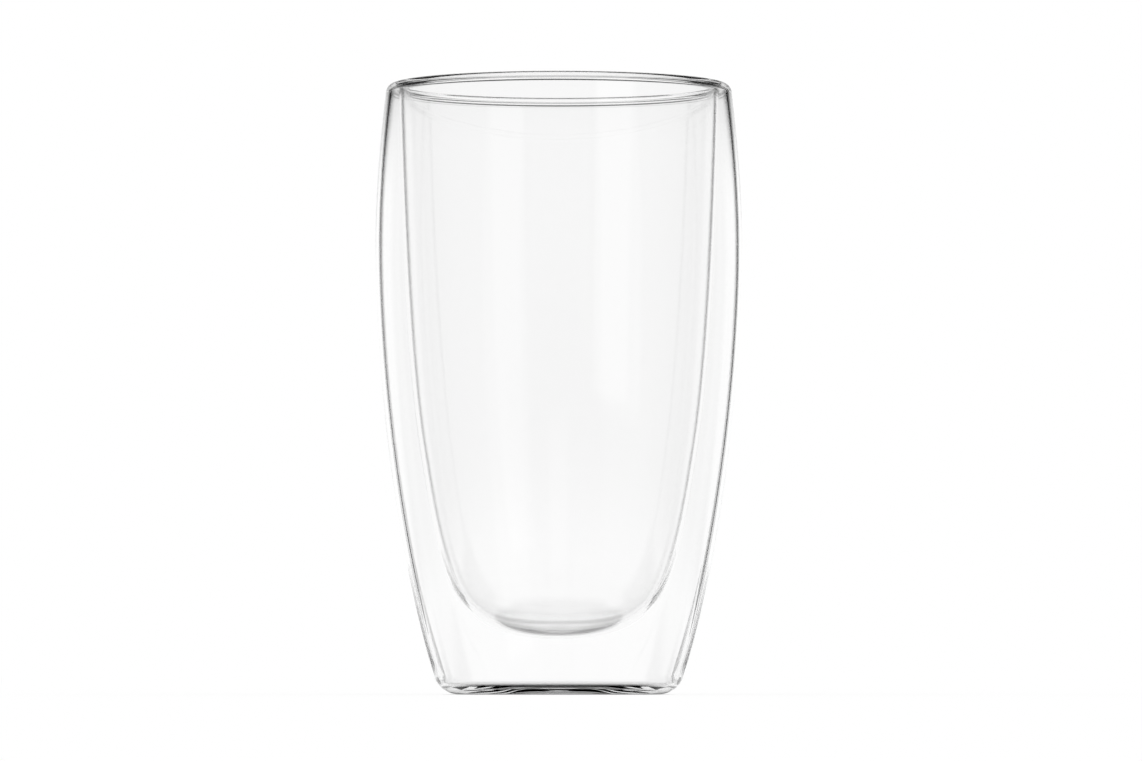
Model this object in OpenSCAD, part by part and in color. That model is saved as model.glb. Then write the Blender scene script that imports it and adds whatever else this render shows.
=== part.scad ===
// Double walled glass cup: an outer wall and a bowl, fused at the lip, with a closed vent in the base.
// The origin is the middle of the base, on the surface that the cup stands on, and +Z points up.

/* [Cup] */
// Height over the lip
cup_h = 147; // [130:1:180]
// Width at the belly, where the cup is widest
belly_d = 88.4; // [86:0.2:104]
// Height of the belly above the table
belly_h = 108; // [90:1:120]
// How far the cup draws in on each side from the belly to the lip
lip_tuck = 2.45; // [0.5:0.05:4]

/* [Foot] */
// Width where the line of the lower wall meets the table
foot_d = 57; // [48:0.5:66]
// Lean of the lower wall at the foot, in degrees from upright
foot_lean = 18.5; // [12:0.5:22]
// Outer radius of the corner between the base and the wall
foot_round = 6; // [3:0.5:9]
// Radius of the same corner on the side of the air space
cavity_round = 2.5; // [2:0.5:7]
// Thickness of the base at the ring that the cup stands on
base_t = 2.1; // [1.6:0.1:4]
// Width of the hollow under the base, inside the ring that the cup stands on
hollow_d = 40; // [24:0.5:46]
// Depth of that hollow
hollow_h = 0.9; // [0.7:0.1:1.2]

/* [Outer wall] */
// Glass at the foot, measured across
outer_foot_t = 1.8; // [1.2:0.1:2.6]
// Glass at the belly
outer_belly_t = 1.1; // [0.8:0.1:2]
// Glass under the lip
outer_lip_t = 1.25; // [1:0.05:2]

/* [Bowl] */
// Height of the bowl's inner floor above the table
bowl_floor_h = 14.8; // [9:0.2:30]
// Height at which the bowl's straight side turns into its round bottom
shoulder_h = 60; // [45:1:75]
// Room at the shoulder between the bowl and a straight line down from the belly's inner side
shoulder_gap = 9.5; // [7:0.1:16]
// Lean of the side at that height, in degrees from upright
shoulder_lean = 8.7; // [6:0.1:11]
// Lean of the side at the mouth, in degrees from upright
mouth_lean = 1; // [0:0.5:3]
// Glass at the mouth
bowl_mouth_t = 0.95; // [0.8:0.05:1.3]
// Glass at the side
bowl_side_t = 1.05; // [0.8:0.05:1.6]
// Glass at the floor
bowl_floor_t = 1.4; // [1:0.1:2.4]

/* [Lip] */
// Width of the air space where the lip closes it
lip_gap = 1.9; // [1.4:0.1:3.4]
// Glass between the top of the air space and the top of the lip
bead_t = 1.35; // [1:0.05:2.5]

/* [Vent] */
// Width of the vent hole
vent_d = 3; // [2:0.1:4]
// Width of the drop of glass that closes it
seal_d = 7; // [5:0.1:8]
// Height of the drop under the base
seal_h = 0.5; // [0.3:0.05:0.6]
// Flat land round the drop
land_t = 1; // [0.5:0.1:3]
// Room between the seal's stem and the hole
stem_gap = 0.03; // [0.02:0.01:0.1]

/* [Hidden] */
$fn = 180;
clear_glass = [0.86, 0.92, 0.94, 0.4];
fused_glass = [0.74, 0.85, 0.9, 0.6];

// How far a curve keeps its first and its last direction, as shares of the height that it climbs
lower_foot_share = 0.26;
lower_belly_share = 0.3;
upper_belly_share = 0.5;
upper_lip_share = 0.02;
side_mouth_share = 0.2;
side_shoulder_share = 0.3;
bottom_shoulder_share = 0.78;
// How far the bottom runs level from the middle, as a share of the shoulder's radius
bottom_level_share = 0.74;
// Width at which the hollow under the base turns level, as a share of the way in from its edge
hollow_turn_share = 0.5;

// Spans of the curves
wall_steps = 14;
corner_steps = 7;
lip_steps = 16;
// How far a cut runs past what it cuts
overrun = 1;

belly_r = belly_d / 2;
lip_r = belly_r - lip_tuck;
// Inner radius of the bowl at the mouth and at the shoulder, inside both walls and the room between them
mouth_r = lip_r - outer_lip_t - lip_gap - bowl_mouth_t;
shoulder_r = belly_r - outer_belly_t - shoulder_gap - bowl_side_t;
gap_r = lip_gap / 2;
lip_h = bead_t + gap_r;
// Height at which both walls end and the lip begins
seam_z = cup_h - lip_h;
// Thickness of the base at the vent
vent_base_t = base_t - hollow_h;
land_r = seal_d / 2 + land_t;

// Points of a cubic curve from a to d, which leaves a towards b and reaches d from c
function curve(a, b, c, d, steps) = [
    for (i = [0:steps])
        let (t = i / steps, u = 1 - t)
            u * u * u * a + 3 * u * u * t * b + 3 * u * t * t * c + t * t * t * d
];

// Points of an arc of an ellipse round centre, between two angles
function arc(centre, half_w, half_h, from, to, steps) = [
    for (i = [0:steps])
        let (angle = from + (to - from) * i / steps)
            centre + [half_w * cos(angle), half_h * sin(angle)]
];

// One upright direction that leans out by an angle, a unit high
function leaning(angle) = [tan(angle), 1];

// The corner of the base: a round one between a level floor and the leaning wall
function foot_corner(line_r, floor_z, round_r) =
    arc([line_r - round_r * tan((90 - foot_lean) / 2), floor_z + round_r], round_r, round_r,
        -90, -foot_lean, corner_steps);

// One side of the outer wall from the floor up to the seam, set in by the glass at three heights
function outer_side(floor_z, round_r, foot_in, belly_in, lip_in) =
    let (
        corner = foot_corner(foot_d / 2 - foot_in + floor_z * tan(foot_lean), floor_z, round_r),
        low = corner[corner_steps],
        belly = [belly_r - belly_in, belly_h],
        top = [lip_r - lip_in, seam_z],
        lower_h = belly_h - low.y,
        upper_h = seam_z - belly_h
    )
    concat(
        corner,
        curve(low, low + lower_foot_share * lower_h * leaning(foot_lean),
            belly - lower_belly_share * lower_h * leaning(0), belly, wall_steps),
        curve(belly, belly + upper_belly_share * upper_h * leaning(0),
            top - upper_lip_share * upper_h * leaning(0), top, wall_steps)
    );

// One side of the bowl from the seam down to the middle of its floor, set out by the glass at three heights
function bowl_side(mouth_out, shoulder_out, floor_down) =
    let (
        top = [mouth_r + mouth_out, seam_z],
        shoulder = [shoulder_r + shoulder_out, shoulder_h],
        middle = [0, bowl_floor_h - floor_down],
        side_h = seam_z - shoulder_h,
        bottom_h = shoulder_h - middle.y
    )
    concat(
        curve(top, top - side_mouth_share * side_h * leaning(mouth_lean),
            shoulder + side_shoulder_share * side_h * leaning(shoulder_lean), shoulder, wall_steps),
        curve(shoulder, shoulder - bottom_shoulder_share * bottom_h * leaning(shoulder_lean),
            middle + [bottom_level_share * shoulder.x, 0], middle, 2 * wall_steps)
    );

// The underside, from the vent's land to the edge of the hollow
function hollow() =
    let (
        edge = [hollow_d / 2, 0],
        land = [land_r, hollow_h],
        turn = [hollow_turn_share * (edge.x - land.x), 0]
    )
    concat([[0, hollow_h]], curve(land, land + turn, edge - turn, edge, corner_steps));

// The same points without any that repeats the one before it
function without_repeats(points) = [
    for (i = [0:len(points) - 1]) if (i == 0 || norm(points[i] - points[i - 1]) > 0) points[i]
];

function reversed(points) = [for (i = [len(points) - 1:-1:0]) points[i]];

module turned(points) {
    rotate_extrude()
        polygon(without_repeats(points));
}

// The outer shell with its thick base and the vent through it
module outer_wall() {
    color(clear_glass)
        difference() {
            turned(concat(
                hollow(),
                outer_side(0, foot_round, 0, 0, 0),
                reversed(outer_side(base_t, cavity_round, outer_foot_t, outer_belly_t, outer_lip_t)),
                [[0, base_t]]
            ));
            translate([0, 0, hollow_h - overrun])
                cylinder(d = vent_d, h = vent_base_t + 2 * overrun);
        }
}

// The bowl that holds the drink
module inner_wall() {
    color(clear_glass)
        turned(concat(
            bowl_side(0, 0, 0),
            reversed(bowl_side(bowl_mouth_t, bowl_side_t, bowl_floor_t))
        ));
}

// The rolled lip that joins the two walls over the air space
module rim_bead() {
    color(fused_glass)
        turned(concat(
            arc([(lip_r + mouth_r) / 2, seam_z], (lip_r - mouth_r) / 2, lip_h, 0, 180, lip_steps),
            arc([mouth_r + bowl_mouth_t + gap_r, seam_z], gap_r, gap_r, 180, 0, lip_steps)
        ));
}

// The drop of glass that closes the vent: a stem in the hole and a low dome under the base
module vent_seal() {
    color(fused_glass)
        turned(concat(
            arc([0, hollow_h], seal_d / 2, seal_h, -90, 0, corner_steps),
            [
                [vent_d / 2 - stem_gap, hollow_h],
                [vent_d / 2 - stem_gap, base_t],
                [0, base_t]
            ]
        ));
}

outer_wall();
inner_wall();
rim_bead();
vent_seal();
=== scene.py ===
import math

import bpy
import numpy as np
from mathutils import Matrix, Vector


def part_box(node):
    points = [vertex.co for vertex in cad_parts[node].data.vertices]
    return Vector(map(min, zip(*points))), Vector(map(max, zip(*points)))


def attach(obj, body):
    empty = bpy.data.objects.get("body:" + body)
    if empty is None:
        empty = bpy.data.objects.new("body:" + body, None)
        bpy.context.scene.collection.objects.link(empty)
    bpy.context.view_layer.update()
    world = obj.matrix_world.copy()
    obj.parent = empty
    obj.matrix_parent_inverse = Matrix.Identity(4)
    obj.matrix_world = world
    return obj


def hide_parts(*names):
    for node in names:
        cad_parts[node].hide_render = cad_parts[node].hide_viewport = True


bl_info = {
    "name": "Double Walled Glass Cup",
    "version": (1, 0, 0),
    "blender": (4, 5, 0),
    "location": "View3D > Sidebar > Glass Cup",
    "description": "Blows a double walled glass cup piece by piece and sets it in a bright studio",
    "category": "Add Mesh",
}

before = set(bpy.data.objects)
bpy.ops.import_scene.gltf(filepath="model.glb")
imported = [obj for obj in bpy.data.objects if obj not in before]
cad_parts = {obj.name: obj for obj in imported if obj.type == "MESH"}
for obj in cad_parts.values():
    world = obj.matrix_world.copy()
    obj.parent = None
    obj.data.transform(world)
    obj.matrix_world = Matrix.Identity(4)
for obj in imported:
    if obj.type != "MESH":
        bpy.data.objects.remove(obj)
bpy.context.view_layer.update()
BODY = "root"

MM = 0.001


def node_reach(node):
    """A turned node's outer radius, its lowest and its highest level."""
    low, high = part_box(node)
    return max(high[0], high[1]), low[2], high[2]


BELLY_R, _, SEAM_Z = node_reach("outer_wall")
BOWL_MOUTH_OUT_R, BOWL_UNDER_Z, _ = node_reach("inner_wall")
LIP_R, _, CUP_H = node_reach("rim_bead")
SEAL_R, SEAL_LOW_Z, BASE_T = node_reach("vent_seal")

STEPS_ROUND = 256
# The small drop at the vent has this many times fewer steps round
SEAL_STEPS_DIVISOR = 4


class GlassSizes(bpy.types.PropertyGroup):
    """The cup's sizes and its glass. Sizes that the frame gives are read from it."""

    cup_height: bpy.props.FloatProperty(
        name="Height", description="Top of the lip above the table", default=CUP_H, unit="LENGTH")
    seam_height: bpy.props.FloatProperty(
        name="Seam height", description="Height at which the walls end and the lip begins",
        default=SEAM_Z, unit="LENGTH")
    belly_radius: bpy.props.FloatProperty(
        name="Belly radius", description="Half of the greatest width", default=BELLY_R, unit="LENGTH")
    belly_height: bpy.props.FloatProperty(
        name="Belly height", description="Height of the greatest width", default=108 * MM, unit="LENGTH")
    lip_radius: bpy.props.FloatProperty(
        name="Lip radius", description="Outer radius just under the lip", default=LIP_R, unit="LENGTH")
    foot_radius: bpy.props.FloatProperty(
        name="Foot radius", description="Where the line of the lower wall meets the table",
        default=28.5 * MM, unit="LENGTH")
    foot_lean: bpy.props.FloatProperty(
        name="Foot lean", description="Lean of the lower wall at the foot",
        default=math.radians(18.5), subtype="ANGLE")
    foot_round: bpy.props.FloatProperty(
        name="Foot round", description="Outer radius of the corner at the base",
        default=6 * MM, unit="LENGTH")
    cavity_round: bpy.props.FloatProperty(
        name="Air space round", description="The same corner's radius in the air space",
        default=2.5 * MM, unit="LENGTH")
    base_glass: bpy.props.FloatProperty(
        name="Base glass", description="Level of the air space's floor", default=BASE_T, unit="LENGTH")
    hollow_radius: bpy.props.FloatProperty(
        name="Hollow radius", description="Radius of the hollow under the base",
        default=20 * MM, unit="LENGTH")
    hollow_depth: bpy.props.FloatProperty(
        name="Hollow depth", description="Depth of the hollow under the base",
        default=0.9 * MM, unit="LENGTH")
    foot_glass: bpy.props.FloatProperty(
        name="Foot glass", description="Outer wall's glass at the foot", default=1.8 * MM, unit="LENGTH")
    belly_glass: bpy.props.FloatProperty(
        name="Belly glass", description="Outer wall's glass at the belly", default=1.1 * MM, unit="LENGTH")
    lip_glass: bpy.props.FloatProperty(
        name="Lip glass", description="Outer wall's glass under the lip", default=1.25 * MM, unit="LENGTH")
    shoulder_height: bpy.props.FloatProperty(
        name="Shoulder height", description="Where the bowl's side turns into its round bottom",
        default=60 * MM, unit="LENGTH")
    shoulder_radius: bpy.props.FloatProperty(
        name="Shoulder radius", description="The bowl's inner radius there",
        default=32.55 * MM, unit="LENGTH")
    shoulder_lean: bpy.props.FloatProperty(
        name="Shoulder lean", description="Lean of the bowl's side there",
        default=math.radians(8.7), subtype="ANGLE")
    mouth_lean: bpy.props.FloatProperty(
        name="Mouth lean", description="Lean of the bowl's side at the mouth",
        default=math.radians(1), subtype="ANGLE")
    bowl_mouth_glass: bpy.props.FloatProperty(
        name="Bowl mouth glass", description="The bowl's glass at the mouth",
        default=0.95 * MM, unit="LENGTH")
    bowl_side_glass: bpy.props.FloatProperty(
        name="Bowl side glass", description="The bowl's glass at the shoulder",
        default=1.05 * MM, unit="LENGTH")
    bowl_floor_glass: bpy.props.FloatProperty(
        name="Bowl floor glass", description="The bowl's glass at its lowest point",
        default=1.4 * MM, unit="LENGTH")
    vent_radius: bpy.props.FloatProperty(
        name="Vent radius", description="Radius of the closed vent", default=1.5 * MM, unit="LENGTH")
    land_width: bpy.props.FloatProperty(
        name="Land width", description="Flat ring round the seal", default=1 * MM, unit="LENGTH")
    glass_tint: bpy.props.FloatVectorProperty(
        name="Glass tint", description="Colour of the glass, where white is clear",
        default=(1.0, 1.0, 1.0), subtype="COLOR", min=0, max=1)
    refractive_index: bpy.props.FloatProperty(
        name="Refractive index", description="How strongly the glass bends light",
        default=1.473, min=1, max=2)
    steps_round: bpy.props.IntProperty(
        name="Steps round", description="Faces in one turn of the glass",
        default=STEPS_ROUND, min=32, max=512)


class StudioSizes(bpy.types.PropertyGroup):
    """Where the camera and the cards stand, and how bright the room is."""

    camera_distance: bpy.props.FloatProperty(
        name="Camera distance", description="From the camera to the cup's axis",
        default=1.77, unit="LENGTH")
    camera_height: bpy.props.FloatProperty(
        name="Camera height", description="Camera above the table", default=4 * MM, unit="LENGTH")
    camera_aside: bpy.props.FloatProperty(
        name="Camera aside", description="How far the camera stands to the right of the cup's axis",
        default=2.94 * MM, unit="LENGTH")
    aim_height: bpy.props.FloatProperty(
        name="Aim height", description="Height of the picture's middle at the cup",
        default=75.5 * MM, unit="LENGTH")
    lens: bpy.props.FloatProperty(
        name="Lens", description="Focal length", default=231.8, unit="CAMERA", min=20.0)
    background: bpy.props.FloatProperty(
        name="Background", description="How bright the backdrop looks, where 1 is white", default=1.0)
    surround: bpy.props.FloatProperty(
        name="Surround", description="How bright the glass shows the room beside and in front of it",
        default=0.7, min=0, max=1)
    surround_distance: bpy.props.FloatProperty(
        name="Surround distance", description="From the cup's axis to the dome round it",
        default=3.0, unit="LENGTH")
    table_start: bpy.props.FloatProperty(
        name="Table start",
        description="From the cup's axis to the near edge of the table that the glass shows",
        default=0.12, unit="LENGTH")
    fill: bpy.props.FloatProperty(
        name="Fill", description="Strength of the plain light that falls from all round", default=1.0)
    floor_glow: bpy.props.FloatProperty(
        name="Floor glow", description="Share of the floor's look that glows, where the rest is lit paper",
        default=0.85, min=0, max=1)
    # The contact shadow is painted: ambient occlusion darkens the floor's glow near the glass
    shadow_reach: bpy.props.FloatProperty(
        name="Shadow reach", description="How far from the glass the contact shadow reaches",
        default=1.5 * MM, unit="LENGTH")
    shadow_depth: bpy.props.FloatProperty(
        name="Shadow depth", description="Share of the floor's glow that the contact shadow takes away",
        default=0.8, min=0, max=1)
    # The foot card is painted shade: a black crescent under the front of the foot in place of its contact
    # shadow
    foot_card_start: bpy.props.FloatProperty(
        name="Foot card start", description="Inner radius of the black crescent under the front of the foot",
        default=21 * MM, unit="LENGTH")
    foot_card_end: bpy.props.FloatProperty(
        name="Foot card end", description="Its outer radius", default=34 * MM, unit="LENGTH")
    foot_card_turn: bpy.props.FloatProperty(
        name="Foot card turn", description="How far round the foot it reaches to each side of the front",
        default=math.radians(64), subtype="ANGLE")


# How far a curve keeps its first and its last direction, as shares of the height that it climbs
LOWER_FOOT_SHARE, LOWER_BELLY_SHARE = 0.26, 0.30
UPPER_BELLY_SHARE, UPPER_LIP_SHARE = 0.50, 0.02
SIDE_MOUTH_SHARE, SIDE_SHOULDER_SHARE = 0.20, 0.30
BOTTOM_SHOULDER_SHARE = 0.78
# How far the bowl's bottom runs level from the middle, as a share of the shoulder's radius
BOTTOM_LEVEL_SHARE = 0.74
# How far the hollow's curve keeps level at both ends, as a share of its width
HOLLOW_TURN_SHARE = 0.5

# Spans of each curve
WALL_STEPS, CORNER_STEPS, LIP_STEPS = 48, 14, 40
BOTTOM_STEPS, HOLLOW_STEPS, DROP_STEPS = 64, 16, 16

# Runs that turn by less than this where they meet share a normal there
SHARP = math.radians(20)
# The least length that a direction is divided by
TINY = 1e-12

UP, OUT = np.array((0.0, 1.0)), np.array((1.0, 0.0))


def leaning(angle):
    """An upward direction in the outline's plane that leans out by an angle, one unit high."""
    return np.array((math.tan(angle), 1.0))


def curve(a, b, c, d, steps):
    """Places and directions along a cubic curve from a to d, which leaves towards b and arrives from c."""
    t = np.linspace(0, 1, steps + 1)[:, None]
    u = 1 - t
    a, b, c, d = (np.asarray(p, float) for p in (a, b, c, d))
    places = u**3 * a + 3 * u * u * t * b + 3 * u * t * t * c + t**3 * d
    ways = 3 * u * u * (b - a) + 6 * u * t * (c - b) + 3 * t * t * (d - c)
    return places, ways


def arc(centre, half_w, half_h, start, end, steps):
    """Places and directions along an ellipse's arc between two angles."""
    angles = np.radians(np.linspace(start, end, steps + 1))
    turn = math.copysign(1, end - start)
    places = np.asarray(centre) + np.stack((half_w * np.cos(angles), half_h * np.sin(angles)), 1)
    ways = turn * np.stack((-half_w * np.sin(angles), half_h * np.cos(angles)), 1)
    return places, ways


def line(a, b):
    """A straight run from a to b."""
    places = np.array((a, b), float)
    return places, np.repeat(places[1:] - places[:1], 2, 0)


def backwards(runs):
    """Runs in the other order and direction."""
    return [(places[::-1], -ways[::-1]) for places, ways in reversed(runs)]


def outer_side(cup, floor_z, round_r, foot_in, belly_in, lip_in):
    """A side of the outer wall, from the foot up to the seam, set in by the glass at three heights."""
    foot_line = cup.foot_radius - foot_in + floor_z * math.tan(cup.foot_lean)
    middle = (foot_line - round_r * math.tan((math.pi / 2 - cup.foot_lean) / 2), floor_z + round_r)
    corner = arc(middle, round_r, round_r, -90, -math.degrees(cup.foot_lean), CORNER_STEPS)
    low = corner[0][-1]
    belly = np.array((cup.belly_radius - belly_in, cup.belly_height))
    top = np.array((cup.lip_radius - lip_in, cup.seam_height))
    lower_h, upper_h = cup.belly_height - low[1], cup.seam_height - cup.belly_height
    lower = curve(low, low + LOWER_FOOT_SHARE * lower_h * leaning(cup.foot_lean),
                  belly - LOWER_BELLY_SHARE * lower_h * UP, belly, WALL_STEPS)
    upper = curve(belly, belly + UPPER_BELLY_SHARE * upper_h * UP,
                  top - UPPER_LIP_SHARE * upper_h * UP, top, WALL_STEPS)
    return [corner, lower, upper]


def wall_outside(cup):
    """The outer wall's outer side."""
    return outer_side(cup, 0, cup.foot_round, 0, 0, 0)


def wall_inside(cup):
    """The outer wall's side towards the air space."""
    return outer_side(cup, cup.base_glass, cup.cavity_round, cup.foot_glass, cup.belly_glass, cup.lip_glass)


def mouth_radius(cup):
    """The bowl's inner radius at the seam."""
    return BOWL_MOUTH_OUT_R - cup.bowl_mouth_glass


def bowl_side(cup, mouth_out, shoulder_out, floor_down):
    """A side of the bowl, from the seam down to the middle, set out by the glass at three heights."""
    top = np.array((mouth_radius(cup) + mouth_out, cup.seam_height))
    shoulder = np.array((cup.shoulder_radius + shoulder_out, cup.shoulder_height))
    middle = np.array((0, BOWL_UNDER_Z + cup.bowl_floor_glass - floor_down))
    side_h, bottom_h = cup.seam_height - cup.shoulder_height, cup.shoulder_height - middle[1]
    lean = leaning(cup.shoulder_lean)
    side = curve(top, top - SIDE_MOUTH_SHARE * side_h * leaning(cup.mouth_lean),
                 shoulder + SIDE_SHOULDER_SHARE * side_h * lean, shoulder, WALL_STEPS)
    bottom = curve(shoulder, shoulder - BOTTOM_SHOULDER_SHARE * bottom_h * lean,
                   middle + BOTTOM_LEVEL_SHARE * shoulder[0] * OUT, middle, BOTTOM_STEPS)
    return [side, bottom]


def hollow(cup):
    """The underside, from the seal's edge out to the ring that the cup stands on."""
    edge = np.array((cup.hollow_radius, 0.0))
    land = np.array((SEAL_R + cup.land_width, cup.hollow_depth))
    turn = HOLLOW_TURN_SHARE * (edge[0] - land[0]) * OUT
    return [line((SEAL_R, cup.hollow_depth), land), curve(land, land + turn, edge - turn, edge, HOLLOW_STEPS)]


def lip_outside(cup):
    """The lip from its outer seam over the top to its inner seam."""
    mouth = mouth_radius(cup)
    return arc(((cup.lip_radius + mouth) / 2, cup.seam_height), (cup.lip_radius - mouth) / 2,
               cup.cup_height - cup.seam_height, 0, 180, LIP_STEPS)


def lip_inside(cup):
    """The end of the air space, from the bowl's seam over the top to the outer wall's seam."""
    wall_r = cup.lip_radius - cup.lip_glass
    half = (wall_r - BOWL_MOUTH_OUT_R) / 2
    return arc((BOWL_MOUTH_OUT_R + half, cup.seam_height), half, half, 180, 0, LIP_STEPS)


class Outline:
    """A closed outline in the half plane, made of runs.

    Runs come in order round the glass with the glass on their left. Neighbours that nearly agree in
    direction share a normal where they meet, so light bends as on one smooth surface. A fused run is where
    two pieces of glass are melted together.
    """

    def __init__(self):
        self.runs = []

    def add(self, runs, fused=False):
        """Adds one run or a list of runs."""
        for places, ways in runs if isinstance(runs, list) else [runs]:
            ways = ways / np.maximum(np.linalg.norm(ways, axis=1, keepdims=True), TINY)
            if self.runs and not fused and not self.runs[-1][2]:
                before = self.runs[-1][1]
                if np.dot(before[-1], ways[0]) > math.cos(SHARP):
                    shared = before[-1] + ways[0]
                    before[-1] = ways[0] = shared / np.linalg.norm(shared)
            self.runs.append((np.array(places), ways, fused))
        return self

    def spans(self):
        """Places in order, whether each is on a seam, and the normals at each span's start and end."""
        places, seams, starts, ends = [], [], [], []
        for run_places, ways, fused in self.runs:
            normals = np.stack((ways[:, 1], -ways[:, 0]), 1)
            for i in range(len(run_places) - 1):
                places.append(run_places[i])
                seams.append(fused)
                starts.append(normals[i])
                ends.append(normals[i + 1])
        flags = [seams[i] or seams[i - 1] for i in range(len(seams))]
        return np.array(places), np.array(flags, float), np.array(starts), np.array(ends)


# The outline is swept along a circle of this radius, and is moved in by as much first
CIRCLE_R = 10 * MM
# Corners nearer to each other than this are welded
WELD = 0.0005 * MM
# A face is a seam where its corners' flags have a higher mean than this, so only where all of them are 1
SEAM_MEAN = 0.9
# A corner nearer to the axis than this is on it
ON_AXIS = 0.01 * MM


def socket(tree, name, kind, way, default=None):
    """Adds an input or an output to a node group."""
    made = tree.interface.new_socket(name, in_out=way, socket_type=kind)
    if default is not None:
        made.default_value = default
    return made


def turning_tree():
    """Turns an outline round the upright axis, closes it at the axis and gives it its glass and its seams."""
    tree = bpy.data.node_groups.get("Turned glass")
    if tree:
        return tree
    tree = bpy.data.node_groups.new("Turned glass", "GeometryNodeTree")
    socket(tree, "Outline", "NodeSocketGeometry", "INPUT")
    socket(tree, "Steps Round", "NodeSocketInt", "INPUT", STEPS_ROUND)
    socket(tree, "Circle Radius", "NodeSocketFloat", "INPUT", CIRCLE_R)
    socket(tree, "Weld Distance", "NodeSocketFloat", "INPUT", WELD)
    socket(tree, "Glass", "NodeSocketMaterial", "INPUT")
    socket(tree, "Seam", "NodeSocketMaterial", "INPUT")
    socket(tree, "Geometry", "NodeSocketGeometry", "OUTPUT")
    nodes, links = tree.nodes, tree.links
    given, made = nodes.new("NodeGroupInput"), nodes.new("NodeGroupOutput")

    profile = nodes.new("GeometryNodeMeshToCurve")
    circle = nodes.new("GeometryNodeCurvePrimitiveCircle")
    sweep = nodes.new("GeometryNodeCurveToMesh")
    flip = nodes.new("GeometryNodeFlipFaces")
    weld = nodes.new("GeometryNodeMergeByDistance")
    neighbours = nodes.new("GeometryNodeInputMeshEdgeNeighbors")
    bare, clean = nodes.new("FunctionNodeCompare"), nodes.new("GeometryNodeDeleteGeometry")
    smooth = nodes.new("GeometryNodeSetShadeSmooth")
    glass, seam = nodes.new("GeometryNodeSetMaterial"), nodes.new("GeometryNodeSetMaterial")
    flag = nodes.new("GeometryNodeInputNamedAttribute")
    on_face = nodes.new("GeometryNodeFieldOnDomain")
    whole = nodes.new("FunctionNodeCompare")
    realize = nodes.new("GeometryNodeRealizeInstances")

    bare.data_type, bare.operation = "INT", "EQUAL"
    face_count = next(i for i in bare.inputs if i.name == "A" and i.type == "INT")
    clean.domain, clean.mode = "EDGE", "EDGE_FACE"
    flag.data_type = "FLOAT"
    flag.inputs["Name"].default_value = "seam"
    on_face.domain, on_face.data_type = "FACE", "FLOAT"
    whole.operation = "GREATER_THAN"
    whole.inputs["B"].default_value = SEAM_MEAN

    links.new(given.outputs["Outline"], profile.inputs["Mesh"])
    links.new(given.outputs["Steps Round"], circle.inputs["Resolution"])
    links.new(given.outputs["Circle Radius"], circle.inputs["Radius"])
    links.new(circle.outputs["Curve"], sweep.inputs["Curve"])
    links.new(profile.outputs["Curve"], sweep.inputs["Profile Curve"])
    links.new(sweep.outputs["Mesh"], flip.inputs["Mesh"])
    links.new(flip.outputs["Mesh"], weld.inputs["Geometry"])
    links.new(given.outputs["Weld Distance"], weld.inputs["Distance"])
    links.new(weld.outputs["Geometry"], clean.inputs["Geometry"])
    links.new(neighbours.outputs["Face Count"], face_count)
    links.new(bare.outputs["Result"], clean.inputs["Selection"])
    links.new(clean.outputs["Geometry"], smooth.inputs["Geometry"])
    links.new(smooth.outputs["Geometry"], realize.inputs["Geometry"])
    links.new(realize.outputs["Geometry"], glass.inputs["Geometry"])
    links.new(given.outputs["Glass"], glass.inputs["Material"])
    links.new(glass.outputs["Geometry"], seam.inputs["Geometry"])
    links.new(given.outputs["Seam"], seam.inputs["Material"])
    links.new(flag.outputs["Attribute"], on_face.inputs["Value"])
    links.new(on_face.outputs["Value"], whole.inputs["A"])
    links.new(whole.outputs["Result"], seam.inputs["Selection"])
    links.new(seam.outputs["Geometry"], made.inputs["Geometry"])
    return tree


def give(modifier, tree, **values):
    """Sets a modifier's inputs by their sockets' identifiers."""
    for item in tree.interface.items_tree:
        key = item.name.lower().replace(" ", "_")
        if item.item_type == "SOCKET" and item.in_out == "INPUT" and key in values:
            modifier[item.identifier] = values[key]


def blow(name, node, outline, glass, steps_round):
    """Turns an outline into a closed glass piece that stands for a CAD node."""
    places, seams, starts, ends = outline.spans()
    count = len(places)
    profile = bpy.data.meshes.new(name + "_outline")
    profile.from_pydata([(r - CIRCLE_R, -z, 0) for r, z in places],
                        [(i, (i + 1) % count) for i in range(count)], [])
    order = np.arange(count, dtype=float)
    profile.attributes.new("place", "FLOAT", "POINT").data.foreach_set("value", order)
    profile.attributes.new("seam", "FLOAT", "POINT").data.foreach_set("value", seams)
    source = bpy.data.objects.new(name + "_outline", profile)
    bpy.context.scene.collection.objects.link(source)
    tree = turning_tree()
    modifier = source.modifiers.new("Turn", "NODES")
    modifier.node_group = tree
    give(modifier, tree, steps_round=steps_round, circle_radius=CIRCLE_R, weld_distance=WELD,
         glass=glass, seam=seam_material())
    evaluated = source.evaluated_get(bpy.context.evaluated_depsgraph_get())
    mesh = bpy.data.meshes.new_from_object(evaluated)
    if not mesh.polygons:
        raise RuntimeError(name + " has no faces")
    bpy.data.objects.remove(source)
    bpy.data.meshes.remove(profile)
    mesh.name = name
    shade(mesh, starts, ends)
    piece = bpy.data.objects.new(name, mesh)
    bpy.context.scene.collection.objects.link(piece)
    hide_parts(node)
    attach(piece, BODY)
    return piece


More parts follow.
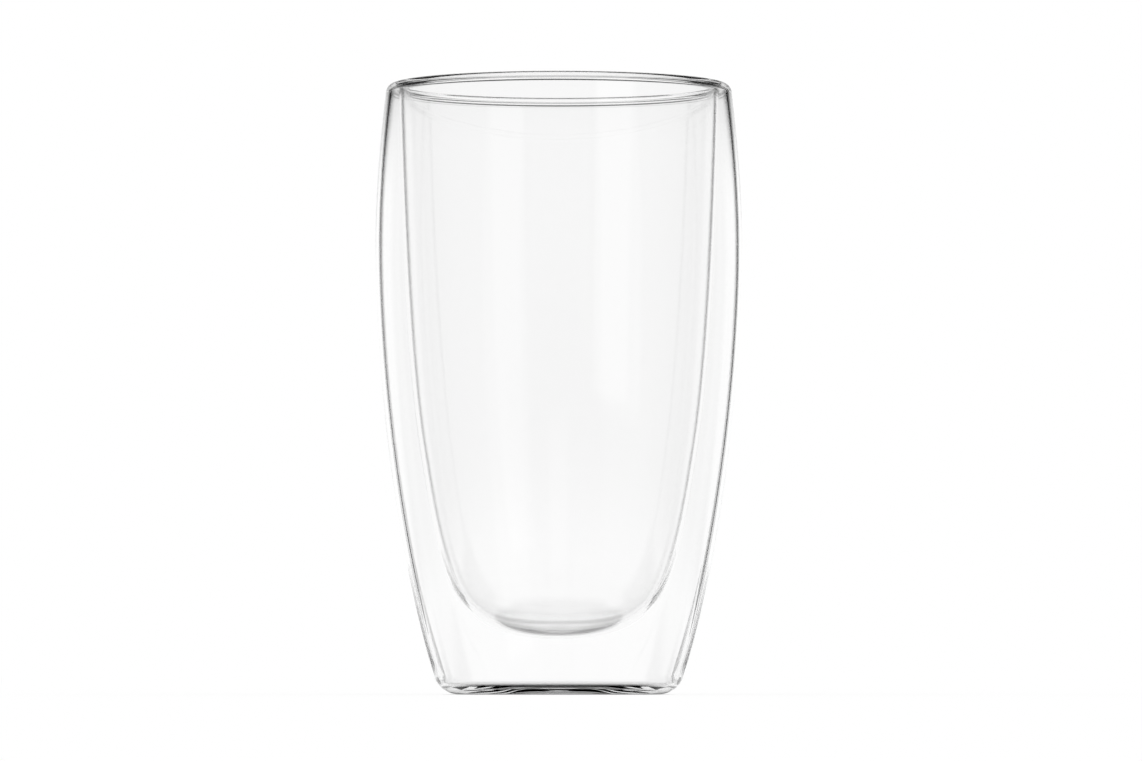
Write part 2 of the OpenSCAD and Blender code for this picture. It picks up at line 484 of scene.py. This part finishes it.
def shade(mesh, starts, ends):
    """Gives each corner of each face the outline's own normal, turned to where the corner is.

    A face lies on the span from its lower place to the next, or on the last span, which joins the last place
    to the first.
    """
    corners = len(mesh.loops)
    vertex = np.empty(corners, int)
    mesh.loops.foreach_get("vertex_index", vertex)
    places = np.empty(len(mesh.vertices))
    mesh.attributes["place"].data.foreach_get("value", places)
    where = np.empty(len(mesh.vertices) * 3)
    mesh.vertices.foreach_get("co", where)
    where = where.reshape(-1, 3)
    first, total = np.empty(len(mesh.polygons), int), np.empty(len(mesh.polygons), int)
    mesh.polygons.foreach_get("loop_start", first)
    mesh.polygons.foreach_get("loop_total", total)
    face = np.repeat(np.arange(len(first)), total)

    at = np.rint(places[vertex])
    low, high = np.minimum.reduceat(at, first), np.maximum.reduceat(at, first)
    span = np.where(high - low > 1, high, low).astype(int)[face]
    flat = np.where((at == span)[:, None], starts[span], ends[span])

    x, y = where[vertex, 0], where[vertex, 1]
    middle_x, middle_y = (np.add.reduceat(v, first)[face] for v in (x, y))
    on_axis = np.hypot(x, y) < ON_AXIS
    x, y = np.where(on_axis, middle_x, x), np.where(on_axis, middle_y, y)
    away = np.hypot(x, y)
    normals = np.stack((flat[:, 0] * x / away, flat[:, 0] * y / away, flat[:, 1]), 1)
    mesh.normals_split_custom_set(normals.tolist())
    for name in ("place", "seam"):
        mesh.attributes.remove(mesh.attributes[name])


def seam_material():
    """The faces where two pieces of glass are melted together. Light goes straight on there."""
    mat = bpy.data.materials.get("fused_seam")
    if mat:
        return mat
    mat = bpy.data.materials.new("fused_seam")
    mat.use_nodes = True
    nodes = mat.node_tree.nodes
    nodes.remove(nodes["Principled BSDF"])
    clear = nodes.new("ShaderNodeBsdfTransparent")
    mat.node_tree.links.new(clear.outputs[0], nodes["Material Output"].inputs["Surface"])
    return mat


def waviness_group():
    """Faint waves of blown glass as a normal: long swells drawn out along the cup, and cords round it."""
    group = bpy.data.node_groups.get("Blown glass waviness")
    if group:
        return group
    group = bpy.data.node_groups.new("Blown glass waviness", "ShaderNodeTree")
    socket(group, "Swell Length", "NodeSocketFloat", "INPUT", 20 * MM)
    socket(group, "Swell Height", "NodeSocketFloat", "INPUT", 0.006 * MM)
    socket(group, "Drawn Out", "NodeSocketFloat", "INPUT", 2.5)
    socket(group, "Cord Spacing", "NodeSocketFloat", "INPUT", 9 * MM)
    socket(group, "Cord Height", "NodeSocketFloat", "INPUT", 0.001 * MM)
    socket(group, "Normal", "NodeSocketVector", "OUTPUT")
    nodes, links = group.nodes, group.links
    given, made = nodes.new("NodeGroupInput"), nodes.new("NodeGroupOutput")

    def math_node(operation, a, b):
        node = nodes.new("ShaderNodeMath")
        node.operation = operation
        for slot, value in zip(node.inputs, (a, b)):
            if isinstance(value, bpy.types.NodeSocket):
                links.new(value, slot)
            else:
                slot.default_value = value
        return node.outputs[0]

    place = nodes.new("ShaderNodeTexCoord")
    apart, stretched = nodes.new("ShaderNodeSeparateXYZ"), nodes.new("ShaderNodeCombineXYZ")
    links.new(place.outputs["Object"], apart.inputs[0])
    links.new(apart.outputs["X"], stretched.inputs["X"])
    links.new(apart.outputs["Y"], stretched.inputs["Y"])
    links.new(math_node("DIVIDE", apart.outputs["Z"], given.outputs["Drawn Out"]), stretched.inputs["Z"])

    swell, cords = nodes.new("ShaderNodeTexNoise"), nodes.new("ShaderNodeTexNoise")
    links.new(stretched.outputs[0], swell.inputs["Vector"])
    links.new(math_node("DIVIDE", 1.0, given.outputs["Swell Length"]), swell.inputs["Scale"])
    swell.inputs["Detail"].default_value = 1.0
    cords.noise_dimensions = "1D"
    links.new(apart.outputs["Z"], cords.inputs["W"])
    links.new(math_node("DIVIDE", 1.0, given.outputs["Cord Spacing"]), cords.inputs["Scale"])
    cords.inputs["Detail"].default_value = 1.0

    height = math_node("ADD", math_node("MULTIPLY", swell.outputs["Fac"], given.outputs["Swell Height"]),
                       math_node("MULTIPLY", cords.outputs["Fac"], given.outputs["Cord Height"]))
    bump = nodes.new("ShaderNodeBump")
    bump.inputs["Distance"].default_value = 1.0
    links.new(height, bump.inputs["Height"])
    links.new(bump.outputs["Normal"], made.inputs["Normal"])
    return group


# The waves that each way of working the glass leaves in it
GLASS_WAVES = {
    "blown_glass": {"Swell Length": 24 * MM, "Swell Height": 0.012 * MM, "Drawn Out": 2.5,
                    "Cord Spacing": 11 * MM, "Cord Height": 0.001 * MM},
    "rolled_lip_glass": {"Swell Length": 14 * MM, "Swell Height": 0.005 * MM, "Drawn Out": 1.0,
                         "Cord Spacing": 6 * MM, "Cord Height": 0.0},
    "sealed_vent_glass": {"Swell Length": 2.5 * MM, "Swell Height": 0.008 * MM, "Drawn Out": 1.0,
                          "Cord Spacing": 4 * MM, "Cord Height": 0.0},
}


def glass_material(name, cup):
    """Clear borosilicate glass with the waves that its making left in it."""
    mat = bpy.data.materials.get(name)
    if mat:
        return mat
    mat = bpy.data.materials.new(name)
    mat.use_nodes = True
    nodes, links = mat.node_tree.nodes, mat.node_tree.links
    glass = nodes["Principled BSDF"]
    glass.inputs["Base Color"].default_value = (*cup.glass_tint, 1)
    glass.inputs["Roughness"].default_value = 0.0
    glass.inputs["IOR"].default_value = cup.refractive_index
    glass.inputs["Transmission Weight"].default_value = 1.0
    waves = nodes.new("ShaderNodeGroup")
    waves.node_tree = waviness_group()
    for item, value in GLASS_WAVES[name].items():
        waves.inputs[item].default_value = value
    links.new(waves.outputs["Normal"], glass.inputs["Normal"])
    return mat


def outer_wall_outline(cup):
    """The outer wall, from the seal's edge out under the base, up to the lip and back down the air space."""
    outside, cavity = wall_outside(cup), wall_inside(cup)
    ring_end, floor_end = outside[0][0][0][0], cavity[0][0][0][0]
    wall_r, z = cup.lip_radius - cup.lip_glass, cup.seam_height
    vent_r, floor_z, vent_z = cup.vent_radius, cup.base_glass, cup.hollow_depth
    return (Outline()
            .add(hollow(cup))
            .add(line((cup.hollow_radius, 0), (ring_end, 0)))
            .add(outside)
            .add(line((cup.lip_radius, z), (wall_r, z)), fused=True)
            .add(backwards(cavity))
            .add(line((floor_end, floor_z), (vent_r, floor_z)))
            .add(line((vent_r, floor_z), (vent_r, vent_z)), fused=True)
            .add(line((vent_r, vent_z), (SEAL_R, vent_z)), fused=True))


def bowl_outline(cup):
    """The bowl, from its lowest point up its outside, over its seam and back down its inside."""
    drink_side = bowl_side(cup, 0, 0, 0)
    cavity_side = bowl_side(cup, cup.bowl_mouth_glass, cup.bowl_side_glass, cup.bowl_floor_glass)
    mouth, z = mouth_radius(cup), cup.seam_height
    low, high = cavity_side[-1][0][-1], drink_side[-1][0][-1]
    return (Outline()
            .add(backwards(cavity_side))
            .add(line((mouth + cup.bowl_mouth_glass, z), (mouth, z)), fused=True)
            .add(drink_side)
            .add(line(high, low)))


def lip_outline(cup):
    """The lip, over its top and back through the end of the air space."""
    mouth, z = mouth_radius(cup), cup.seam_height
    return (Outline()
            .add(lip_outside(cup))
            .add(line((mouth, z), (mouth + cup.bowl_mouth_glass, z)), fused=True)
            .add(lip_inside(cup))
            .add(line((cup.lip_radius - cup.lip_glass, z), (cup.lip_radius, z)), fused=True))


def seal_outline(cup):
    """The drop under the vent and the glass that fills the vent."""
    vent_r, floor_z, vent_z = cup.vent_radius, cup.base_glass, cup.hollow_depth
    return (Outline()
            .add(arc((0, vent_z), SEAL_R, vent_z - SEAL_LOW_Z, -90, 0, DROP_STEPS))
            .add(line((SEAL_R, vent_z), (vent_r, vent_z)), fused=True)
            .add(line((vent_r, vent_z), (vent_r, floor_z)), fused=True)
            .add(line((vent_r, floor_z), (0, floor_z)))
            .add(line((0, floor_z), (0, SEAL_LOW_Z))))


class CUP_OT_outer_wall(bpy.types.Operator):
    """Blow the bellied outer wall with its thick base"""

    bl_idname = "glass_cup.outer_wall"
    bl_label = "Outer Wall"

    def execute(self, context):
        cup = context.scene.glass_sizes
        glass = glass_material("blown_glass", cup)
        blow("outer_wall_glass", "outer_wall", outer_wall_outline(cup), glass, cup.steps_round)
        return {"FINISHED"}


class CUP_OT_bowl(bpy.types.Operator):
    """Blow the round-bottomed bowl"""

    bl_idname = "glass_cup.bowl"
    bl_label = "Bowl"

    def execute(self, context):
        cup = context.scene.glass_sizes
        glass = glass_material("blown_glass", cup)
        blow("bowl_glass", "inner_wall", bowl_outline(cup), glass, cup.steps_round)
        return {"FINISHED"}


class CUP_OT_lip(bpy.types.Operator):
    """Roll the lip that closes the air space"""

    bl_idname = "glass_cup.lip"
    bl_label = "Lip"

    def execute(self, context):
        cup = context.scene.glass_sizes
        glass = glass_material("rolled_lip_glass", cup)
        blow("lip_glass", "rim_bead", lip_outline(cup), glass, cup.steps_round)
        return {"FINISHED"}


class CUP_OT_vent_seal(bpy.types.Operator):
    """Drop the bead of glass that closes the vent"""

    bl_idname = "glass_cup.vent_seal"
    bl_label = "Vent Seal"

    def execute(self, context):
        cup = context.scene.glass_sizes
        glass = glass_material("sealed_vent_glass", cup)
        blow("vent_seal_glass", "vent_seal", seal_outline(cup), glass, cup.steps_round // SEAL_STEPS_DIVISOR)
        return {"FINISHED"}


# The floor lies this far under the cup and the foot card half as far, so that none of them touch
FLOOR_DROP = 0.05 * MM
FLOOR_HALF_WIDTH = 6.0
# The share of light that the floor gives back
FLOOR_ALBEDO = 0.9
# Rays that look for the glass from each place in the contact shadow
SHADOW_SAMPLES = 8

# The black strips behind the cup's sides: at some levels, from the lowest up, how far behind the axis the
# strip is, in millimetres like the level, and its two edges in degrees to the left or right of straight
# behind the side
FLAGS = {
    "left": ((7, 42, -34, -35), (22, 42, -33, -42), (60, 52, -29, -37), (105, 63, -26, -36),
             (175, 80, -23, -35)),
    "right": ((7, 42, 32, 33), (22, 42, 31, 39), (60, 52, 27, 35), (105, 63, 24, 34), (175, 80, 24, 35)),
    "left_foot": ((-0.05, 60, -12, -24), (28, 60, -16, -17)),
    "right_foot": ((-0.05, 60, 11, 23), (28, 60, 15, 16)),
}
FLAG_ROWS = 27

# The room that the glass shows, each zone laid over those before it: from and to in degrees round the cup,
# where 0 is straight behind it and the right is positive, from and to in degrees up from the cup's foot, or
# down from its middle where they are negative, how wide the zone's edges fade, and how bright it is
ZONES = {
    "backdrop": (-50, 50, -90, 10, 6, 1.0),
    "dark_room": (-36, 36, 10, 60, 5, 0.02),
    "dark_sides": (-75, 75, 17, 42, 6, 0.02),
    "back_light": (-15, 15, 24, 50, 3, 1.0),
    "softbox": (127, 154, -10, 30, 2, 1.0),
}
# The dome's top, and how far up from its near edge the table fades from white to the zones, in degrees
DOME_TOP, TABLE_FADE = 66, 18
DOME_COLUMNS, TABLE_ROWS = 241, 24

# The foot card is the painted shadow under the front of the foot
# How wide the foot card's edges fade, at its two ends in radians and at its two rims in metres
FOOT_CARD_END_FADE = 0.3
FOOT_CARD_RIM_FADE = 4 * MM
FOOT_CARD_COLUMNS, FOOT_CARD_ROWS = 65, 14

# How often light may bend or reflect, so that both walls stay clear where the camera sees many surfaces
MOST_BOUNCES, MOST_REFLECTIONS = 32, 16

# The camera's sensor in millimetres, and how near and how far it sees in metres
SENSOR_WIDTH = 36.0
CLIP_START, CLIP_END = 0.01, 50.0
WHITE = (1, 1, 1, 1)


def card(name, corners, faces, material):
    """A flat or bent card of the stage, which isn't a part of the cup."""
    mesh = bpy.data.meshes.new(name)
    mesh.from_pydata(corners, [], faces)
    mesh.materials.append(material)
    made = bpy.data.objects.new(name, mesh)
    bpy.context.scene.collection.objects.link(made)
    return made


def grid_card(name, corners, attribute, values, material):
    """A card on a grid of corners, which carries a value for each of them as an attribute."""
    rows, columns = values.shape
    faces = [(i * columns + j, i * columns + j + 1, (i + 1) * columns + j + 1, (i + 1) * columns + j)
             for i in range(rows - 1) for j in range(columns - 1)]
    made = card(name, corners.reshape(-1, 3).tolist(), faces, material)
    made.data.attributes.new(attribute, "FLOAT", "POINT").data.foreach_set("value", values.ravel())
    return made


def follow(made, camera):
    """Shows a card only to the glass, and turns it round the cup's axis with the camera."""
    made.visible_camera = made.visible_diffuse = made.visible_shadow = False
    turn = made.constraints.new("LOCKED_TRACK")
    turn.target = camera
    turn.track_axis, turn.lock_axis = "TRACK_NEGATIVE_Y", "LOCK_Z"


def inside(value, low, high, fade):
    """1 between two limits and 0 beyond them, with soft edges."""
    share = np.clip(np.minimum(value - low, high - value) / fade + 0.5, 0, 1)
    return share * share * (3 - 2 * share)


def dome(name, studio, material):
    """A table and a dome round the cup, which carry each zone's brightness."""
    eye, distance = studio.aim_height, studio.surround_distance
    near = -math.degrees(math.atan(eye / studio.table_start))
    far = -math.degrees(math.atan(eye / distance))
    levels = np.concatenate((np.linspace(near, far, TABLE_ROWS), np.linspace(0, DOME_TOP, DOME_TOP + 1)))
    turns, levels = np.meshgrid(np.linspace(-180, 180, DOME_COLUMNS), levels)
    glow = np.full(turns.shape, studio.surround)
    for start, end, low, high, fade, bright in ZONES.values():
        mask = inside(turns, start, end, fade) * inside(levels, low, high, fade)
        glow += mask * (bright - glow)
    faded = np.clip((levels - near) / TABLE_FADE, 0, 1)
    glow += (1 - faded) * (1 - glow)
    turns, levels = np.radians(turns), np.radians(levels)
    on_table = levels < 0
    reach = np.where(on_table, eye / np.tan(np.where(on_table, -levels, 1)), distance * np.cos(levels))
    height = np.where(on_table, FLOOR_DROP, distance * np.sin(levels))
    corners = np.stack((np.sin(turns) * reach, np.cos(turns) * reach, height), -1)
    return grid_card(name, corners, "glow", glow, material)


def strip(name, levels, cup, material):
    """A black strip behind one side of the cup, which follows the side's own line."""
    wall = np.concatenate([places for places, _ in wall_outside(cup)[1:]])
    levels = np.array(levels, float)
    corners = []
    for z in np.linspace(levels[0, 0], levels[-1, 0], FLAG_ROWS):
        back, near, far = (np.interp(z, levels[:, 0], levels[:, i]) for i in (1, 2, 3))
        side = math.copysign(np.interp(z * MM, wall[:, 1], wall[:, 0]), near)
        for edge in (near, far):
            corners.append((side + back * MM * math.tan(math.radians(edge)), back * MM, z * MM))
    faces = [(i, i + 1, i + 3, i + 2) for i in range(0, len(corners) - 2, 2)]
    return card(name, corners, faces, material)


def foot_card(name, studio, material):
    """A soft edged black crescent under the front of the foot, a painted shadow in place of the contact
    shadow there. The base shows it as its dark band.
    """
    turn, start, end = studio.foot_card_turn, studio.foot_card_start, studio.foot_card_end
    turns, radii = np.meshgrid(np.linspace(-turn, turn, FOOT_CARD_COLUMNS),
                               np.linspace(start, end, FOOT_CARD_ROWS))
    side, rim = FOOT_CARD_END_FADE / 2, FOOT_CARD_RIM_FADE / 2
    dark = (inside(turns, side - turn, turn - side, FOOT_CARD_END_FADE)
            * inside(radii, start + rim, end - rim, FOOT_CARD_RIM_FADE))
    height = np.full(turns.shape, -FLOOR_DROP / 2)
    corners = np.stack((radii * np.sin(turns), -radii * np.cos(turns), height), -1)
    return grid_card(name, corners, "dark", dark, material)


def card_material(name):
    """An empty material for a card, with its nodes, its links and the socket for its surface."""
    mat = bpy.data.materials.new(name)
    mat.use_nodes = True
    nodes = mat.node_tree.nodes
    nodes.remove(nodes["Principled BSDF"])
    return mat, nodes, mat.node_tree.links, nodes["Material Output"].inputs["Surface"]


def attribute_value(nodes, name):
    """A card's own value at each place."""
    given = nodes.new("ShaderNodeAttribute")
    given.attribute_name = name
    return given.outputs["Fac"]


def black_material():
    """A card that gives no light."""
    mat, nodes, links, surface = card_material("black_card")
    black = nodes.new("ShaderNodeEmission")
    black.inputs["Strength"].default_value = 0.0
    links.new(black.outputs[0], surface)
    mat.cycles.emission_sampling = "NONE"
    return mat


def painted_shadow_material():
    """A card that is black where its value is 1 and clear where it is 0, used for the painted shadow under
    the foot.
    """
    mat, nodes, links, surface = card_material("soft_black_card")
    clear, black = nodes.new("ShaderNodeBsdfTransparent"), nodes.new("ShaderNodeEmission")
    black.inputs["Strength"].default_value = 0.0
    shown = nodes.new("ShaderNodeMixShader")
    links.new(attribute_value(nodes, "dark"), shown.inputs["Fac"])
    links.new(clear.outputs[0], shown.inputs[1])
    links.new(black.outputs[0], shown.inputs[2])
    links.new(shown.outputs[0], surface)
    return mat


def room_material():
    """A room that is as bright as its value says."""
    mat, nodes, links, surface = card_material("room")
    glow = nodes.new("ShaderNodeEmission")
    links.new(attribute_value(nodes, "glow"), glow.inputs["Strength"])
    links.new(glow.outputs[0], surface)
    mat.cycles.emission_sampling = "NONE"
    return mat


def seen_directly(nodes, links, with_camera):
    """1 for rays that show a background: the reflected and the bent ones, and the camera's where asked."""
    path = nodes.new("ShaderNodeLightPath")
    bent = nodes.new("ShaderNodeMath")
    bent.operation = "MAXIMUM"
    links.new(path.outputs["Is Glossy Ray"], bent.inputs[0])
    links.new(path.outputs["Is Transmission Ray"], bent.inputs[1])
    if not with_camera:
        return bent.outputs[0]
    every = nodes.new("ShaderNodeMath")
    every.operation = "MAXIMUM"
    links.new(path.outputs["Is Camera Ray"], every.inputs[0])
    links.new(bent.outputs[0], every.inputs[1])
    return every.outputs[0]


def make_world(studio):
    """Plain white light from all round, white for the camera, and one grey where the glass shows the room."""
    world = bpy.data.worlds.new("studio")
    world.use_nodes = True
    nodes, links = world.node_tree.nodes, world.node_tree.links
    plain = nodes["Background"]
    shown, room = nodes.new("ShaderNodeBackground"), nodes.new("ShaderNodeBackground")
    for node, strength in ((plain, studio.fill), (shown, studio.background), (room, studio.surround)):
        node.inputs["Color"].default_value = WHITE
        node.inputs["Strength"].default_value = strength
    path = nodes.new("ShaderNodeLightPath")
    by_camera, by_glass = nodes.new("ShaderNodeMixShader"), nodes.new("ShaderNodeMixShader")
    links.new(seen_directly(nodes, links, False), by_glass.inputs["Fac"])
    links.new(plain.outputs[0], by_glass.inputs[1])
    links.new(room.outputs[0], by_glass.inputs[2])
    links.new(path.outputs["Is Camera Ray"], by_camera.inputs["Fac"])
    links.new(by_glass.outputs[0], by_camera.inputs[1])
    links.new(shown.outputs[0], by_camera.inputs[2])
    links.new(by_camera.outputs[0], nodes["World Output"].inputs["Surface"])
    bpy.context.scene.world = world


def make_camera(studio):
    """The camera, level with the table and far from the cup, as the photograph's was."""
    data = bpy.data.cameras.new("camera")
    data.lens = studio.lens
    data.sensor_width = SENSOR_WIDTH
    data.clip_start, data.clip_end = CLIP_START, CLIP_END
    camera = bpy.data.objects.new("camera", data)
    bpy.context.scene.collection.objects.link(camera)
    camera.location = (studio.camera_aside, -studio.camera_distance, studio.camera_height)
    way = Vector((studio.camera_aside, 0, studio.aim_height)) - camera.location
    camera.rotation_euler = way.to_track_quat("-Z", "Y").to_euler()
    bpy.context.scene.camera = camera
    return camera


def make_floor(studio):
    """A white floor. What it adds to its shaded colour to look white gets less close to the glass: a painted
    contact shadow in its glow, over the paper's real shading.
    """
    mat = bpy.data.materials.new("floor")
    mat.use_nodes = True
    nodes, links = mat.node_tree.nodes, mat.node_tree.links
    paper = nodes["Principled BSDF"]
    paper.inputs["Base Color"].default_value = (FLOOR_ALBEDO,) * 3 + (1,)
    paper.inputs["Roughness"].default_value = 1.0
    paper.inputs["Specular IOR Level"].default_value = 0.0
    # Painted contact shadow: ambient occlusion darkens the floor's glow where the glass is near
    near = nodes.new("ShaderNodeAmbientOcclusion")
    near.samples = SHADOW_SAMPLES
    near.inputs["Distance"].default_value = studio.shadow_reach
    open_white = (1 - (1 - studio.floor_glow) * FLOOR_ALBEDO) / studio.floor_glow
    # The glow's strength, with the painted contact shadow taken out of it
    lit = nodes.new("ShaderNodeMath")
    lit.operation = "MULTIPLY_ADD"
    lit.inputs[1].default_value = open_white * studio.shadow_depth
    lit.inputs[2].default_value = open_white * (1 - studio.shadow_depth)
    glow = nodes.new("ShaderNodeEmission")
    links.new(near.outputs["AO"], lit.inputs[0])
    links.new(lit.outputs[0], glow.inputs["Strength"])
    shown = nodes.new("ShaderNodeMixShader")
    shown.inputs["Fac"].default_value = studio.floor_glow
    links.new(paper.outputs[0], shown.inputs[1])
    links.new(glow.outputs[0], shown.inputs[2])
    mix = nodes.new("ShaderNodeMixShader")
    links.new(seen_directly(nodes, links, True), mix.inputs["Fac"])
    links.new(paper.outputs[0], mix.inputs[1])
    links.new(shown.outputs[0], mix.inputs[2])
    links.new(mix.outputs[0], nodes["Material Output"].inputs["Surface"])
    corners = [(x * FLOOR_HALF_WIDTH, y * FLOOR_HALF_WIDTH, -FLOOR_DROP)
               for x, y in ((-1, -1), (1, -1), (1, 1), (-1, 1))]
    card("floor", corners, [(0, 1, 2, 3)], mat)


def make_cards(camera, studio, cup):
    """Black cards near the cup draw its outlines and its base, whose dark band is a painted shadow, and a
    dome round it gives its reflections.
    """
    black = black_material()
    for name, levels in FLAGS.items():
        follow(strip("flag_" + name, levels, cup, black), camera)
    # The foot card is a painted shadow under the front of the foot, seen only by the glass
    follow(foot_card("foot_card", studio, painted_shadow_material()), camera)
    follow(dome("room", studio, room_material()), camera)


class CUP_OT_stage(bpy.types.Operator):
    """Set the camera, the pale floor, the bright room and the cards"""

    bl_idname = "glass_cup.stage"
    bl_label = "Studio"

    def execute(self, context):
        studio = context.scene.studio_sizes
        camera = make_camera(studio)
        make_world(studio)
        make_floor(studio)
        make_cards(camera, studio, context.scene.glass_sizes)
        context.scene.view_settings.view_transform = "Standard"
        light = context.scene.cycles
        light.max_bounces = light.transmission_bounces = light.transparent_max_bounces = MOST_BOUNCES
        light.glossy_bounces = MOST_REFLECTIONS
        return {"FINISHED"}


class CUP_PT_panel(bpy.types.Panel):
    """Lists the stage and the cup's pieces in the order in which they are made, and their sizes"""

    bl_idname = "CUP_PT_panel"
    bl_label = "Glass Cup"
    bl_space_type = "VIEW_3D"
    bl_region_type = "UI"
    bl_category = "Glass Cup"

    def draw(self, context):
        for operator in OPERATORS:
            self.layout.operator(operator.bl_idname)
        for group in (context.scene.glass_sizes, context.scene.studio_sizes):
            box = self.layout.box()
            for name in group.__annotations__:
                box.prop(group, name)


OPERATORS = (CUP_OT_stage, CUP_OT_outer_wall, CUP_OT_bowl, CUP_OT_lip, CUP_OT_vent_seal)
CLASSES = (GlassSizes, StudioSizes, *OPERATORS, CUP_PT_panel)


def register():
    for cls in CLASSES:
        bpy.utils.register_class(cls)
    bpy.types.Scene.glass_sizes = bpy.props.PointerProperty(type=GlassSizes)
    bpy.types.Scene.studio_sizes = bpy.props.PointerProperty(type=StudioSizes)


def unregister():
    del bpy.types.Scene.studio_sizes
    del bpy.types.Scene.glass_sizes
    for cls in reversed(CLASSES):
        bpy.utils.unregister_class(cls)


def main():
    """Makes the stage and then each piece."""
    register()
    bpy.ops.glass_cup.stage()
    bpy.ops.glass_cup.outer_wall()
    bpy.ops.glass_cup.bowl()
    bpy.ops.glass_cup.lip()
    bpy.ops.glass_cup.vent_seal()


if __name__ == "__main__":
    main()
